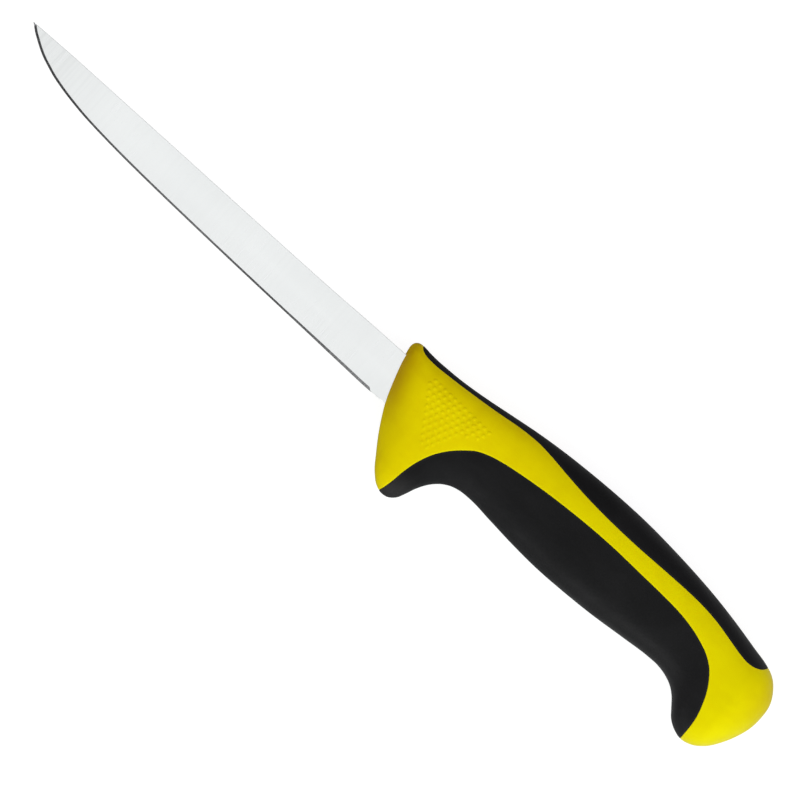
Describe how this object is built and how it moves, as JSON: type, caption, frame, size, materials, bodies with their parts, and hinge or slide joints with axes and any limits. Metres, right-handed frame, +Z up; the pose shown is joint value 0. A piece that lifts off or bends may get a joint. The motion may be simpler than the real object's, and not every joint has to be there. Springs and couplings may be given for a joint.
{
  "type": "boning knife",
  "caption": "Narrow, slightly swept boning blade with a hidden tang, held in a hard handle with a deep finger guard and soft non-slip grips along its belly and back.",
  "frame": {"origin": "centre of the blade's section where it leaves the front of the handle, on the blade's mid-plane: halfway between back and cutting edge, halfway between the two faces", "axes": "+X along the knife from the point towards the butt; +Y across the blade from the cutting edge towards its back; +Z square to the blade's mid-plane, so the knife lies on its side with +Z up"},
  "size_m": [0.308, 0.0478, 0.0236],
  "materials": {
    "blade_steel": "fine satin, ground from edge to back, with a bright ground bevel",
    "core_plastic": "satin moulded yellow polypropylene",
    "soft_grip": "matt black thermoplastic elastomer"
  },
  "bodies": {
    "root": {"blade": "blade_steel", "handle_core": "core_plastic", "belly_grip": "soft_grip", "spine_grip": "soft_grip"}
  },
  "joints": []
}
